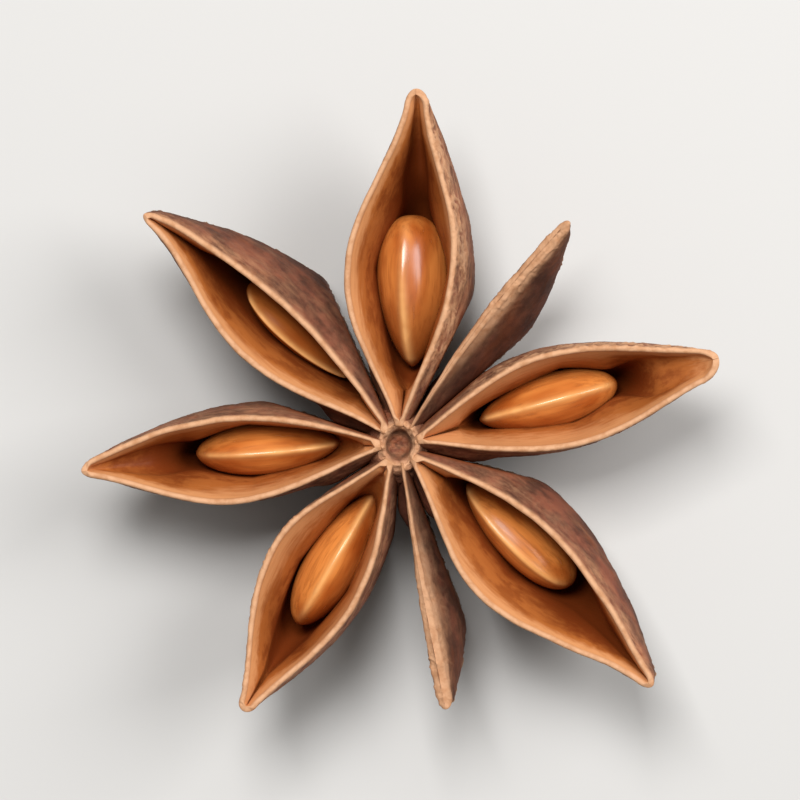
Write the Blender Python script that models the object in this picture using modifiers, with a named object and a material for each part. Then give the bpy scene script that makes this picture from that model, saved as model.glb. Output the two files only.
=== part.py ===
"""Star anise pod: eight boat-shaped carpels grown together round a short core.

Six carpels have split open along their upper edge and hold one seed each. Two stayed shut.
The pod stands on the keels of its open carpels, mouths up. Metres, +Z up, origin at the
middle of its base.
"""

import math
from collections import namedtuple

import bmesh
import bpy
import numpy as np

MM = 0.001

# Carpel walls, in millimetres.
INNER_END = 0.45  # where every carpel starts, inside the core
LIP = 0.46  # thickness of the pale edge round a mouth
WALL = 0.68  # thickness of a side wall at its fullest
KEEL_THICKNESS = 1.0  # from the hollow's floor to the underside
KEEL_HALF_WIDTH = 0.36
HUB_MOUTH = 0.10  # half the gap between two lips where they meet the core
SLIT = 0.06  # least half-width of a mouth
LIP_BEVEL = 0.08  # how far a lip slopes down to its inner edge
HOLLOW_FROM = 0.19  # share of the length where a hollow reaches its full depth
SUTURE_DEPTH = 0.40  # groove along the top of a shut carpel
END_DEPTH = 4.3  # depth of a carpel where it joins the core
TIP_DEPTH = 1.1  # depth of the beak
BELLY_AT = 0.43  # where a carpel is deepest, as a share of its length
TIP_ROUNDING = 0.93  # the beak rounds off from here outwards
SINK = 0.14  # how much of a keel is worn flat where the pod stands on it
HUB_HEIGHT = 7.9  # height of the lips where they meet
RIM_BLEND = 0.30  # share of the length over which a rim rises from the hub

# Core and stalk stub, in millimetres; heights are above the surface the pod stands on.
CORE_PROFILE = (
    (0.0, 6.75),
    (0.62, 6.85),
    (1.02, 7.35),
    (1.75, 6.7),
    (2.55, 5.9),
    (2.78, 4.9),
    (2.7, 3.9),
    (2.1, 3.1),
    (1.25, 2.75),
    (0.0, 2.6),
)
CORE_SIDES = 24
STALK_RADIUS = 0.85
STALK_LENGTH = 2.6  # ends above the surface, so that the keels carry the pod
STALK_SIDES = 14
STALK_TILT = math.radians(7)

# Seeds, in millimetres.
SEED_HALF_THICKNESS = 1.74
SEED_HALF_DEPTH = 2.15
SEED_RIDGE = 0.13
SEED_BELOW_RIM = 1.25  # from the rim's level down to the top of the seed
SEED_SEGMENTS = 14
SEED_RINGS = 10

# Rings of points round a carpel's wall, as shares of the depth from rim to keel.
OUTER_SHARES = (0.0, 0.10, 0.26, 0.44, 0.63, 0.82, 1.0)
INNER_SHARES = (0.0, 0.22, 0.46, 0.72, 0.94)
STATIONS = 15

Carpel = namedtuple(
    "Carpel",
    "name azimuth length left right lean depth pocket tip rise bow "
    "seed_length seed_girth seed_at seed_aside",
)
# azimuth and lean in degrees, seed_girth a share, the rest in millimetres. left and right
# are the mouth's half-widths seen from above, looking outwards; a positive lean swings the
# keel left; tip is the beak's half-width, rise how far it turns up, bow the sideways curve.
# A shut carpel holds no seed that shows, so its seed_length is 0.
CARPELS = (
    Carpel("back", 87.2, 19.9, 3.40, 2.45, -9, 8.60, 2.42, 0.28, 0.9, 0.10, 8.3, 1.0, 8.75, 0.12),
    Carpel("back_right", 52.8, 15.7, 0.42, 0.42, -9, 7.30, 0.95, 0.30, 1.0, 0.45, 0, 0, 0, 0),
    Carpel("right", 15.3, 18.5, 2.85, 2.75, 3, 8.40, 2.40, 0.95, 0.4, -0.12, 7.9, 0.98, 8.85, 0.04),
    Carpel("front_right", -43.5, 19.5, 2.45, 3.05, 17, 8.50, 2.55, 0.26, 0.8, 0.0, 8.6, 0.98, 8.6, 0.0),
    Carpel("front", -80.3, 15.0, 0.34, 0.34, 7, 7.10, 0.90, 0.55, 0.5, -0.25, 0, 0, 0, 0),
    Carpel("front_left", -120.4, 17.2, 2.45, 3.20, 3, 8.30, 2.38, 0.30, 0.7, 0.0, 8.1, 1.0, 7.45, 0.0),
    Carpel("left", 184.6, 17.8, 2.60, 2.15, -8, 8.25, 2.30, 0.26, 0.6, 0.0, 8.1, 0.90, 7.4, 0.06),
    Carpel("back_left", 137.8, 19.2, 2.35, 1.50, -19, 8.45, 2.40, 0.24, 0.8, 0.0, 7.6, 0.92, 8.5, 0.06),
)

PERICARP_BROWN = (0.150, 0.062, 0.034)
SEED_CARAMEL = (0.500, 0.170, 0.036)


def is_open(carpel):
    return carpel.seed_length > 0


def mouth(u):
    """How wide a carpel is along its length: 0 at the core, 1 at the belly, 0 at the beak."""
    return np.sin(np.pi * np.clip(u, 0, 1) ** 0.85) ** 1.2


def depth_along(carpel, u):
    """Depth from rim to keel: swells from the core to the belly, then runs up to the beak."""
    inner = END_DEPTH + (carpel.depth - END_DEPTH) * (1 - np.clip((BELLY_AT - u) / BELLY_AT, 0, 1) ** 2)
    outer = 1 - np.clip((u - BELLY_AT) / (1 - BELLY_AT), 0, 1) ** 1.7
    return np.where(u < BELLY_AT, inner, TIP_DEPTH + (carpel.depth - TIP_DEPTH) * outer)


def rim_height(carpel, u):
    """Height of the rim: up from the hub, level along the belly, turned up at the beak."""
    level = carpel.depth - SINK if is_open(carpel) else HUB_HEIGHT - 0.1
    blend = np.clip(u / RIM_BLEND, 0, 1)
    climb = blend * blend * (3 - 2 * blend)
    return HUB_HEIGHT + (level - HUB_HEIGHT) * climb + carpel.rise * u**3


def tip_factor(u):
    """Rounds the beak off like a quarter circle."""
    past = np.clip((u - TIP_ROUNDING) / (1 - TIP_ROUNDING), 0, 0.985)
    return np.sqrt(1 - past**2)


def half_section(carpel, u, side, share, inner):
    """Distance from a carpel's middle plane, and depth, of one line along its wall.

    side is 1 for left and -1 for right. share runs from 0 at the rim to 1 at the keel, or at
    the hollow's floor.
    """
    width = (carpel.left if side > 0 else carpel.right) * mouth(u) + carpel.tip * u**3
    depth = depth_along(carpel, u)
    pocket = carpel.pocket * mouth(u) ** 0.7
    round_off = tip_factor(u)
    if inner:
        edge = np.maximum(width - LIP / 2, HUB_MOUTH)
        reach = np.maximum(depth - KEEL_THICKNESS, 0.3) if is_open(carpel) else SUTURE_DEPTH
        reach = 0.3 + (reach - 0.3) * np.clip(u / HOLLOW_FROM, 0, 1) ** 2 * np.clip(1.15 - u**5, 0, 1)
        reach = reach * round_off
        wide = pocket if is_open(carpel) else 0 * u
        half = wide * (1 - share**2.4) ** 0.55 + (edge - wide) * (1 - share) ** 2.6
        return np.maximum(half, SLIT) * round_off, reach * share + LIP_BEVEL * round_off
    edge = width + LIP / 2 + HUB_MOUTH * (1 - u)
    wide = pocket + WALL
    half = wide * (1 - share**2.2) ** 0.7 + (edge - wide) * (1 - share) ** 2.6
    half = half + KEEL_HALF_WIDTH * share**4
    return half * round_off, depth * share * round_off


def wall_line(carpel, u, side, share, inner):
    """Points of one line along a carpel's wall, in the carpel's own frame, in metres."""
    half, below = half_section(carpel, u, side, share, inner)
    lean = math.tan(math.radians(carpel.lean))
    roll = side * lean * 0.5 * half * np.exp(-below / 2.5)
    x = INNER_END + (carpel.length - INNER_END) * u
    y = side * half + lean * below + carpel.bow * np.sin(np.pi * u)
    z = np.maximum(rim_height(carpel, u) + roll - below, 0)
    return np.stack([x, y, z], axis=-1) * MM


def carpel_mesh(carpel):
    """One carpel as a closed loft: its wall's ring at each station, with both ends filled."""
    t = np.linspace(0, 1, STATIONS)
    u = 0.45 * t + 0.55 * (1 - np.cos(np.pi * t)) / 2
    lines = [wall_line(carpel, u, 1, s, False) for s in OUTER_SHARES]
    lines += [wall_line(carpel, u, -1, s, False) for s in reversed(OUTER_SHARES)]
    lines += [wall_line(carpel, u, -1, s, True) for s in INNER_SHARES]
    lines += [wall_line(carpel, u, 1, s, True) for s in reversed(INNER_SHARES)]
    rings = np.stack(lines, axis=1)
    count = rings.shape[1]
    bm = bmesh.new()
    grid = [[bm.verts.new(point) for point in ring] for ring in rings]
    for near, far in zip(grid, grid[1:]):
        for i in range(count):
            j = (i + 1) % count
            bm.faces.new((near[i], near[j], far[j], far[i]))
    bm.faces.new(list(reversed(grid[0])))
    bm.faces.new(grid[-1])
    bmesh.ops.recalc_face_normals(bm, faces=bm.faces)
    bmesh.ops.triangulate(bm, faces=bm.faces)
    mesh = bpy.data.meshes.new("carpel_" + carpel.name)
    bm.to_mesh(mesh)
    bm.free()
    return mesh


def stalk_mesh():
    """The short broken stalk: a cone that widens into the core, its end cut across."""
    bm = bmesh.new()
    bmesh.ops.create_cone(
        bm,
        cap_ends=True,
        segments=STALK_SIDES,
        radius1=STALK_RADIUS * MM,
        radius2=STALK_RADIUS * 1.35 * MM,
        depth=STALK_LENGTH * MM,
    )
    bmesh.ops.triangulate(bm, faces=bm.faces)
    mesh = bpy.data.meshes.new("stalk")
    bm.to_mesh(mesh)
    bm.free()
    return mesh


def seed_mesh(length, girth):
    """A seed: an egg with a pointed inner end, flattened sides and a ridge along its top."""
    bm = bmesh.new()
    bmesh.ops.create_uvsphere(bm, u_segments=SEED_SEGMENTS, v_segments=SEED_RINGS, radius=1)
    for vertex in bm.verts:
        across, up, along = vertex.co.x, vertex.co.y, vertex.co.z
        fullness = girth * (1 + 0.10 * along - 0.10 * along**2)
        point = max(0.0, -along - 0.55) * 0.35
        ridge = SEED_RIDGE * max(0.0, up) ** 12
        vertex.co = (
            (along - point * 0.25) * length / 2 * MM,
            across * fullness * SEED_HALF_THICKNESS * MM,
            (up * fullness * SEED_HALF_DEPTH + ridge) * MM,
        )
    bmesh.ops.recalc_face_normals(bm, faces=bm.faces)
    bmesh.ops.triangulate(bm, faces=bm.faces)
    mesh = bpy.data.meshes.new("seed")
    bm.to_mesh(mesh)
    bm.free()
    return mesh


def material(name, colour, roughness):
    """A Principled material with one colour."""
    made = bpy.data.materials.new(name)
    made.use_nodes = True
    shader = made.node_tree.nodes["Principled BSDF"]
    shader.inputs["Base Color"].default_value = (*colour, 1)
    shader.inputs["Roughness"].default_value = roughness
    shader.inputs["Metallic"].default_value = 0
    return made


def add_object(name, mesh, collection, parent, finish=None):
    """Puts a mesh into a collection, under the pod's empty, shaded smooth."""
    made = bpy.data.objects.new(name, mesh)
    collection.objects.link(made)
    made.parent = parent
    if finish:
        mesh.materials.append(finish)
    if mesh.polygons:
        mesh.shade_smooth()
        mesh.set_sharp_from_angle(angle=math.radians(50))
    return made


def add_core(collection, parent, finish):
    """The core, a profile turned round +Z, with everything that grows from it joined on."""
    mesh = bpy.data.meshes.new("pod")
    points = [(radius * MM, 0, height * MM) for radius, height in CORE_PROFILE]
    mesh.from_pydata(points, [(i, i + 1) for i in range(len(points) - 1)], [])
    core = add_object("pod", mesh, collection, parent, finish)
    turn = core.modifiers.new("turn", "SCREW")
    turn.steps = CORE_SIDES
    turn.render_steps = CORE_SIDES
    turn.use_merge_vertices = True
    turn.merge_threshold = 0.00001
    return core


def hub_offset():
    """Where the core stands, so that the origin is at the middle of the pod's base."""
    t = np.linspace(0, 1, 60)
    lines = []
    for carpel in CARPELS:
        turn = math.radians(carpel.azimuth)
        for side in (1, -1):
            for share in (0.0, 0.26, 0.44, 0.63):
                line = wall_line(carpel, t, side, share, False)
                x = line[:, 0] * math.cos(turn) - line[:, 1] * math.sin(turn)
                y = line[:, 0] * math.sin(turn) + line[:, 1] * math.cos(turn)
                lines.append(np.stack([x, y], axis=-1))
    reach = np.concatenate(lines)
    return -(reach.min(axis=0) + reach.max(axis=0)) / 2


def build():
    for old in list(bpy.data.objects):
        bpy.data.objects.remove(old)

    parts = bpy.data.collections.new("star_anise_pod")
    joined = bpy.data.collections.new("joined_shapes")
    bpy.context.scene.collection.children.link(parts)
    bpy.context.scene.collection.children.link(joined)

    pericarp = material("pericarp", PERICARP_BROWN, 0.62)
    seed_coat = material("seed_coat", SEED_CARAMEL, 0.28)

    hub = bpy.data.objects.new("hub", None)
    parts.objects.link(hub)
    hub.location = (*hub_offset(), 0)

    for carpel in CARPELS:
        shape = add_object("carpel_" + carpel.name, carpel_mesh(carpel), joined, hub)
        shape.rotation_euler.z = math.radians(carpel.azimuth)
    stalk = add_object("stalk_stub", stalk_mesh(), joined, hub)
    stalk.location.z = (CORE_PROFILE[-2][1] - STALK_LENGTH / 2 + 0.6) * MM
    stalk.rotation_euler.x = STALK_TILT
    for shape in joined.objects:
        shape.hide_render = True
        shape.display_type = "WIRE"

    pod = add_core(parts, hub, pericarp)
    union = pod.modifiers.new("join", "BOOLEAN")
    union.operation = "UNION"
    union.solver = "EXACT"
    union.operand_type = "COLLECTION"
    union.collection = joined

    for carpel in CARPELS:
        if not is_open(carpel):
            continue
        mesh = seed_mesh(carpel.seed_length, carpel.seed_girth)
        seed = add_object("seed_" + carpel.name, mesh, parts, hub, seed_coat)
        lean = math.radians(carpel.lean)
        turn = math.radians(carpel.azimuth)
        u = (carpel.seed_at - INNER_END) / (carpel.length - INNER_END)
        below = SEED_BELOW_RIM + SEED_HALF_DEPTH * carpel.seed_girth
        aside = math.tan(lean) * below + carpel.bow * math.sin(math.pi * u) + carpel.seed_aside
        seed.location = (
            (carpel.seed_at * math.cos(turn) - aside * math.sin(turn)) * MM,
            (carpel.seed_at * math.sin(turn) + aside * math.cos(turn)) * MM,
            (float(rim_height(carpel, u)) - below) * MM,
        )
        seed.rotation_euler = (lean, 0, turn)


build()
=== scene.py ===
import math

import bpy
import numpy as np
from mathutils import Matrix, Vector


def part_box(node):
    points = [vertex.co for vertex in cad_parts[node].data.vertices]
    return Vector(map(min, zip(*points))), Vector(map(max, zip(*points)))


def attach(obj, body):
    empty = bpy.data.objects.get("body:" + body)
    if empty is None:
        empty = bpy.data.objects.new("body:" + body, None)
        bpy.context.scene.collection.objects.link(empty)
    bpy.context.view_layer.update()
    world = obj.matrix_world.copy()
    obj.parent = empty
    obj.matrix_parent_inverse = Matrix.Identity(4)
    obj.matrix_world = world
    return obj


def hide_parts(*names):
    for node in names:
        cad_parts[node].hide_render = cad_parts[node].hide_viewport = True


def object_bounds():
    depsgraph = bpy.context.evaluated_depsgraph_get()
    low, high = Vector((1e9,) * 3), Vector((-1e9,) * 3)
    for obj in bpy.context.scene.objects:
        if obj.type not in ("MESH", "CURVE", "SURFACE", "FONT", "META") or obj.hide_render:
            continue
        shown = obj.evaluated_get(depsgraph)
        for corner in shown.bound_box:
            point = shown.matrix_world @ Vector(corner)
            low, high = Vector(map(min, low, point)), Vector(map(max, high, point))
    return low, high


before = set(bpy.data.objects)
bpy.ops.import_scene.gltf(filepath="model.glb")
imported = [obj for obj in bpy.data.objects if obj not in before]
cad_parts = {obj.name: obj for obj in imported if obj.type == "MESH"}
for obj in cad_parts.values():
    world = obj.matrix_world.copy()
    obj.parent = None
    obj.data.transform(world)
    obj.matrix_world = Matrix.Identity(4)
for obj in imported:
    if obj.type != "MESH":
        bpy.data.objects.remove(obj)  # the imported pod, a fixed frame in metres
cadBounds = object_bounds()
mm = 0.001
print("frame loaded:", ", ".join(sorted(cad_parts)))

noiseTable = {
    "size": 8192,  # how many random values, a power of two
    "primes": (73856093, 19349663, 83492791),  # they scatter the lattice over the values
    "shift": 13,
    "finer": 1.9,  # each layer of ridges has cells this much smaller
    "lower": 1.8,  # and counts this much less
}


def smoothStep(low, high, value):
    # 0 below low, 1 above high, three t squared less two t cubed at the share t between
    t = np.clip((value - low) / (high - low), 0, 1)
    return t * t * (3 - 2 * t)


def softLeast(a, b, blend):
    # the smaller of two arrays, less blend times the logarithm of 1 plus the falling power of
    # their gap over blend, which rounds the place where they cross
    low = np.minimum(a, b)
    return low - blend * np.log1p(np.exp(-np.abs(a - b) / blend))


def latticeNoise(points, cell, draw):
    # smooth noise from -1 to 1: random values on a lattice of this cell size, each weighed by
    # the eased share of the way from its corner, summed over the eight corners round a point
    table = np.random.default_rng(draw).uniform(-1, 1, noiseTable["size"])
    across, over, up = noiseTable["primes"]
    scaled = points / np.asarray(cell, float)
    base = np.floor(scaled).astype(np.int64)
    part = scaled - base
    ease = part * part * (3 - 2 * part)
    total = np.zeros(points.shape[:-1])
    for dx in (0, 1):
        for dy in (0, 1):
            for dz in (0, 1):
                mixed = (base[..., 0] + dx) * across
                mixed = mixed ^ ((base[..., 1] + dy) * over)
                mixed = mixed ^ ((base[..., 2] + dz) * up)
                mixed = (mixed ^ (mixed >> noiseTable["shift"])) & (noiseTable["size"] - 1)
                weight = ease[..., 0] if dx else 1 - ease[..., 0]
                weight = weight * (ease[..., 1] if dy else 1 - ease[..., 1])
                weight = weight * (ease[..., 2] if dz else 1 - ease[..., 2])
                total += weight * table[mixed]
    return total


def layeredNoise(points, cell, draw, layers=3):
    # octaves of lattice noise, each half the size and half the height of the one before,
    # divided by the sum of their heights
    cell = np.asarray(cell, float)
    heights = [latticeNoise(points, cell / 2**i, draw + i) / 2**i for i in range(layers)]
    return sum(heights) / (2 - 2 ** (1 - layers))


def ridgedNoise(points, cell, draw, layers):
    # 1 less twice the size of lattice noise, in layers: 1 on sharp crests, 0 in the troughs
    cell = np.asarray(cell, float)
    total = 0
    for i in range(layers):
        crossed = 1 - np.abs(latticeNoise(points, cell / noiseTable["finer"]**i, draw + i)) * 2
        total = total + crossed / noiseTable["lower"]**i
    return np.clip(total / sum(noiseTable["lower"]**-i for i in range(layers)), 0, 1)


def gridNormals(points):
    # unit normals of rings of points: the step round the ring crossed with the step along
    along = np.gradient(points, axis=0)
    around = np.roll(points, -1, axis=1) - np.roll(points, 1, axis=1)
    normal = np.cross(around, along)
    length = np.linalg.norm(normal, axis=-1, keepdims=True)
    return normal / np.maximum(length, 1e-12)


def ringMesh(name, points, marks):
    # a closed skin over rings of points (metres): four-sided faces from ring to ring and a fan
    # of triangles to the middle of each end ring, all turned round if the signed volume comes
    # out negative; marks are named values, one for each point, that the materials read
    rows, cols = points.shape[:2]
    ends = np.stack([points[0].mean(0), points[-1].mean(0)])
    verts = np.concatenate([points.reshape(-1, 3), ends])
    i, j = np.meshgrid(np.arange(rows - 1), np.arange(cols), indexing="ij")
    k = (j + 1) % cols
    quads = np.stack([i * cols + j, (i + 1) * cols + j, (i + 1) * cols + k, i * cols + k], -1)
    quads = quads.reshape(-1, 4)
    ring = np.arange(cols)
    after = (ring + 1) % cols
    first = np.stack([ring, after, np.full(cols, rows * cols)], -1)
    base = (rows - 1) * cols
    last = np.stack([base + after, base + ring, np.full(cols, rows * cols + 1)], -1)
    middle = verts.mean(0)
    a, b, c = (verts[quads[:, n]] - middle for n in (0, 1, 2))
    if np.einsum("ij,ij->i", a, np.cross(b, c)).sum() < 0:
        quads, first, last = quads[:, ::-1], first[:, ::-1], last[:, ::-1]
    corners = np.concatenate([quads.ravel(), first.ravel(), last.ravel()])
    sizes = np.concatenate([np.full(len(quads), 4), np.full(2 * cols, 3)])
    mesh = bpy.data.meshes.new(name)
    mesh.vertices.add(len(verts))
    mesh.vertices.foreach_set("co", verts.astype(np.float32).ravel())
    mesh.loops.add(len(corners))
    mesh.loops.foreach_set("vertex_index", corners.astype(np.int32))
    mesh.polygons.add(len(sizes))
    mesh.polygons.foreach_set("loop_start", (np.cumsum(sizes) - sizes).astype(np.int32))
    mesh.polygons.foreach_set("use_smooth", np.full(len(sizes), True))
    mesh.update(calc_edges=True)
    mesh.validate()
    for mark, values in marks.items():
        atEnds = values[[0, -1]].mean(1).reshape(2, -1)
        held = np.concatenate([values.reshape(rows * cols, -1), atEnds]).astype(np.float32)
        kind, field = ("FLOAT_VECTOR", "vector") if held.shape[1] == 3 else ("FLOAT", "value")
        mesh.attributes.new(mark, kind, "POINT").data.foreach_set(field, held.ravel())
    return mesh


def addPiece(name, mesh, material, slot, *nodes):
    # puts a mesh in the scene, unturned at the origin, as a piece that stands for these nodes
    piece = bpy.data.objects.new(name, mesh)
    bpy.context.scene.collection.objects.link(piece)
    mesh.materials.append(material)
    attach(piece, "root")
    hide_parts(*nodes)


class ShaderSheet:
    # short names for the nodes that the materials below are made of

    def __init__(self, name):
        # a principled shader, and the place mark: millimetres in the piece's own directions,
        # x along it
        self.material = bpy.data.materials.new(name)
        self.material.use_nodes = True
        self.tree = self.material.node_tree
        self.shader = self.tree.nodes["Principled BSDF"]
        held = self.tree.nodes.new("ShaderNodeAttribute")
        held.attribute_name = "place"
        self.place = held.outputs["Vector"]

    def put(self, socket, value):
        # links a socket to another, or sets its value; a colour gets full opacity
        if isinstance(value, bpy.types.NodeSocket):
            self.tree.links.new(value, socket)
        elif isinstance(value, tuple) and len(value) == 3 and socket.type == "RGBA":
            socket.default_value = (*value, 1)
        else:
            socket.default_value = value

    def mark(self, name):
        # one of the mesh's named values
        node = self.tree.nodes.new("ShaderNodeAttribute")
        node.attribute_name = name
        return node.outputs["Fac"]

    def noise(self, width, detail, rough, stretch, shift):
        # noise of the place over the width of a blotch in millimetres, over stretch times the
        # width along x, moved by the shift
        moved = self.tree.nodes.new("ShaderNodeMapping")
        moved.inputs["Location"].default_value = (shift, shift * 1.7, shift * 0.6)
        moved.inputs["Scale"].default_value = (1 / (width * stretch), 1 / width, 1 / width)
        self.put(moved.inputs["Vector"], self.place)
        node = self.tree.nodes.new("ShaderNodeTexNoise")
        self.put(node.inputs["Vector"], moved.outputs["Vector"])
        node.inputs["Scale"].default_value = 1.0
        node.inputs["Detail"].default_value = detail
        node.inputs["Roughness"].default_value = rough
        return node.outputs["Fac"]

    def maths(self, operation, a, b):
        # a and b added, subtracted or multiplied
        node = self.tree.nodes.new("ShaderNodeMath")
        node.operation = operation
        self.put(node.inputs[0], a)
        self.put(node.inputs[1], b)
        return node.outputs[0]

    def between(self, value, low, high):
        # 0 at low, 1 at high, eased as smoothStep is
        node = self.tree.nodes.new("ShaderNodeMapRange")
        node.interpolation_type = "SMOOTHSTEP"
        self.put(node.inputs["Value"], value)
        node.inputs["From Min"].default_value = low
        node.inputs["From Max"].default_value = high
        return node.outputs["Result"]

    def mix(self, share, a, b):
        # colour a, and b over it by the share
        node = self.tree.nodes.new("ShaderNodeMix")
        node.data_type = "RGBA"
        self.put(node.inputs[0], share)
        self.put(node.inputs[6], a)
        self.put(node.inputs[7], b)
        return node.outputs[2]

    def mixValue(self, share, a, b):
        # number a, and b in its place by the share
        node = self.tree.nodes.new("ShaderNodeMix")
        self.put(node.inputs[0], share)
        self.put(node.inputs[2], a)
        self.put(node.inputs[3], b)
        return node.outputs[0]

    def bump(self, height, distance):
        # tilts the shading by the slope of the height; distance in millimetres
        node = self.tree.nodes.new("ShaderNodeBump")
        node.inputs["Distance"].default_value = distance * mm
        self.put(node.inputs["Height"], height)
        self.put(self.shader.inputs["Normal"], node.outputs["Normal"])


huskColours = {
    "dusk": (0.085, 0.030, 0.019),  # the dark violet-brown of the sides
    "earth": (0.235, 0.073, 0.040),
    "bloom": (0.430, 0.205, 0.105),  # where the side has weathered pale
    "rust": (0.300, 0.075, 0.022),  # smooth patches where carpels were pressed together
    "cork": (0.400, 0.222, 0.112),  # crests of the corky keel
    # painted shade, the colour between the cork's crests
    "groove": (0.150, 0.070, 0.038),  # between the crests
    # the colour of painted shade, laid down the wall and in the troughs of the relief
    "paintedShade": (0.030, 0.012, 0.007),
    "lip": (0.610, 0.340, 0.190),
    "lipShade": (0.480, 0.235, 0.115),
    # the lining from the lip down into the hollow, darker with depth as painted shade
    "liningLight": (0.570, 0.250, 0.100),
    "lining": (0.360, 0.108, 0.024),
    "liningDeep": (0.165, 0.032, 0.006),
}

# width in millimetres, detail, roughness, length for its width, shift
huskPatterns = {
    "blotch": (1.6, 4, 0.6, 1.0, 0.0),
    "fine": (0.14, 3, 0.7, 1.0, 3.1),
    "flecks": (0.42, 5, 0.70, 2.6, 7.0),
    "rusty": (2.4, 3, 0.55, 1.4, 21.0),
    "streak": (0.20, 3, 0.55, 14.0, 11.0),
    "patches": (0.95, 5, 0.62, 2.0, 17.0),
    "lipBlotch": (0.55, 4, 0.6, 1.0, 5.0),
}

huskFinish = {
    "rustShare": 0.50,  # how strong the rusty patches are
    "pressedShare": 0.85,
    # how strong the painted shade in the troughs of the relief is
    "troughShadeShare": 0.45,
    "streakShare": 0.45,
    "patchShare": 0.72,
    "wallRough": 0.70,
    "liningRough": (0.34, 0.50),
    "lipRough": 0.60,
    "pressedRough": 0.42,
    "specular": 0.12,
    "grainHeight": 0.030,
    "liningGrain": 0.35,  # the lining's grain as a share of the wall's
}


def makeHuskMaterial():
    # the whole wall. The side goes from dusk to earth by blotches, to bloom by the pale mark
    # times flecks, to rust in patches and by the pressed mark, to crevice by the dim mark, which
    # is painted shade that darkens the wall down towards the keel, to cork or groove by the keel
    # mark, the grooves painted darker as shade between the crests, and to crevice again in the
    # troughs of the relief, painted shade there too. The lining goes from light to deep by the
    # deep mark plus streaks: painted shade that grows down into the hollow, with real streaks of
    # tone. The inside mark lays the lining over the side, the lip mark the lip over both
    s = ShaderSheet("starAniseHusk")
    c, p, f = huskColours, huskPatterns, huskFinish
    blotch = s.between(s.noise(*p["blotch"]), 0.36, 0.66)
    fine = s.noise(*p["fine"])
    side = s.mix(blotch, c["dusk"], c["earth"])
    flecks = s.between(s.noise(*p["flecks"]), 0.30, 0.72)
    weather = s.maths("MULTIPLY", s.mark("pale"), flecks)
    side = s.mix(weather, side, c["bloom"])
    rusty = s.between(s.noise(*p["rusty"]), 0.54, 0.72)
    side = s.mix(s.maths("MULTIPLY", rusty, f["rustShare"]), side, c["rust"])
    side = s.mix(s.maths("MULTIPLY", s.mark("pressed"), f["pressedShare"]), side, c["rust"])
    # the cork's crests keep their pale colour, the grooves between them are painted darker as
    # shade
    cork = s.mix(s.between(s.mark("crest"), -0.10, 1.05), c["groove"], c["cork"])
    # painted shade: the side darkened towards the keel, and all over by each carpel's own amount
    side = s.mix(s.mark("wallShade"), side, c["paintedShade"])
    side = s.mix(s.mark("keel"), side, cork)
    # painted shade in the troughs of the relief, where the crest mark is low
    troughShade = s.maths("MULTIPLY", s.between(s.mark("crest"), 0.42, 0.10), f["troughShadeShare"])
    side = s.mix(troughShade, side, c["paintedShade"])
    streak = s.noise(*p["streak"])
    swing = s.maths("MULTIPLY", s.maths("SUBTRACT", streak, 0.5), f["streakShare"])
    deep = s.maths("ADD", s.mark("deep"), swing)
    # painted shade: the lining goes darker down into the hollow; the streaks add real tone
    lining = s.mix(s.between(deep, -0.02, 0.36), c["liningLight"], c["lining"])
    lining = s.mix(s.between(deep, 0.36, 0.95), lining, c["liningDeep"])
    # dark blotches of tone that come only where the lining is deep, so they add painted shade too
    patches = s.between(s.noise(*p["patches"]), 0.45, 0.63)
    patches = s.maths("MULTIPLY", patches, s.between(s.mark("deep"), -0.05, 0.60))
    lining = s.mix(s.maths("MULTIPLY", patches, f["patchShare"]), lining, c["liningDeep"])
    lip = s.mix(s.between(s.noise(*p["lipBlotch"]), 0.38, 0.72), c["lip"], c["lipShade"])
    colour = s.mix(s.mark("inside"), side, lining)
    colour = s.mix(s.mark("lip"), colour, lip)
    s.put(s.shader.inputs["Base Color"], colour)
    satin = s.mixValue(streak, *f["liningRough"])
    rough = s.mixValue(s.mark("inside"), f["wallRough"], satin)
    rough = s.mixValue(s.mark("lip"), rough, f["lipRough"])
    smoother = s.maths("MULTIPLY", s.mark("pressed"), 0.8)
    rough = s.mixValue(smoother, rough, f["pressedRough"])
    s.put(s.shader.inputs["Roughness"], rough)
    s.shader.inputs["Specular IOR Level"].default_value = f["specular"]
    soft = s.maths("MULTIPLY", streak, f["liningGrain"])
    s.bump(s.mixValue(s.mark("inside"), fine, soft), f["grainHeight"])
    return s.material


seedColours = {
    "coat": (0.440, 0.104, 0.016),
    "amber": (0.710, 0.244, 0.052),
    "shade": (0.240, 0.055, 0.009),
    "ridge": (0.830, 0.430, 0.150),
}

# width in millimetres, detail, roughness, length for its width, shift
seedPatterns = {
    "mottle": (1.5, 2, 0.5, 3.0, 2.0),
    "streak": (0.22, 3, 0.55, 14.0, 4.0),
}

seedFinish = {
    "streakShare": 0.42,
    "rough": (0.22, 0.30),
    "streakHeight": 0.004,
}


def makeSeedMaterial(name, gloss):
    # a hard coat: from coat to amber by long mottles, to shade by streaks, by the dark mark,
    # which is painted shade, and by the ends mark, with the ridge's colour on top; gloss is the
    # level of its shine
    s = ShaderSheet("starAniseSeedCoat" + name)
    c, p, f = seedColours, seedPatterns, seedFinish
    mottle = s.noise(*p["mottle"])
    coat = s.mix(s.between(mottle, 0.30, 0.62), c["coat"], c["amber"])
    streak = s.noise(*p["streak"])
    shaded = s.maths("MULTIPLY", s.between(streak, 0.42, 0.72), f["streakShare"])
    coat = s.mix(shaded, coat, c["shade"])
    # painted shade: the coat darker all over on a seed that lies under a wall, and at its inner
    # end
    coat = s.mix(s.mark("dark"), coat, c["shade"])
    coat = s.mix(s.mark("ends"), coat, c["shade"])
    coat = s.mix(s.mark("ridge"), coat, c["ridge"])
    s.put(s.shader.inputs["Base Color"], coat)
    s.put(s.shader.inputs["Roughness"], s.mixValue(streak, *f["rough"]))
    s.shader.inputs["Specular IOR Level"].default_value = gloss
    s.bump(streak, f["streakHeight"])
    return s.material


huskMaterial = makeHuskMaterial()
print("materials made")

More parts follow.
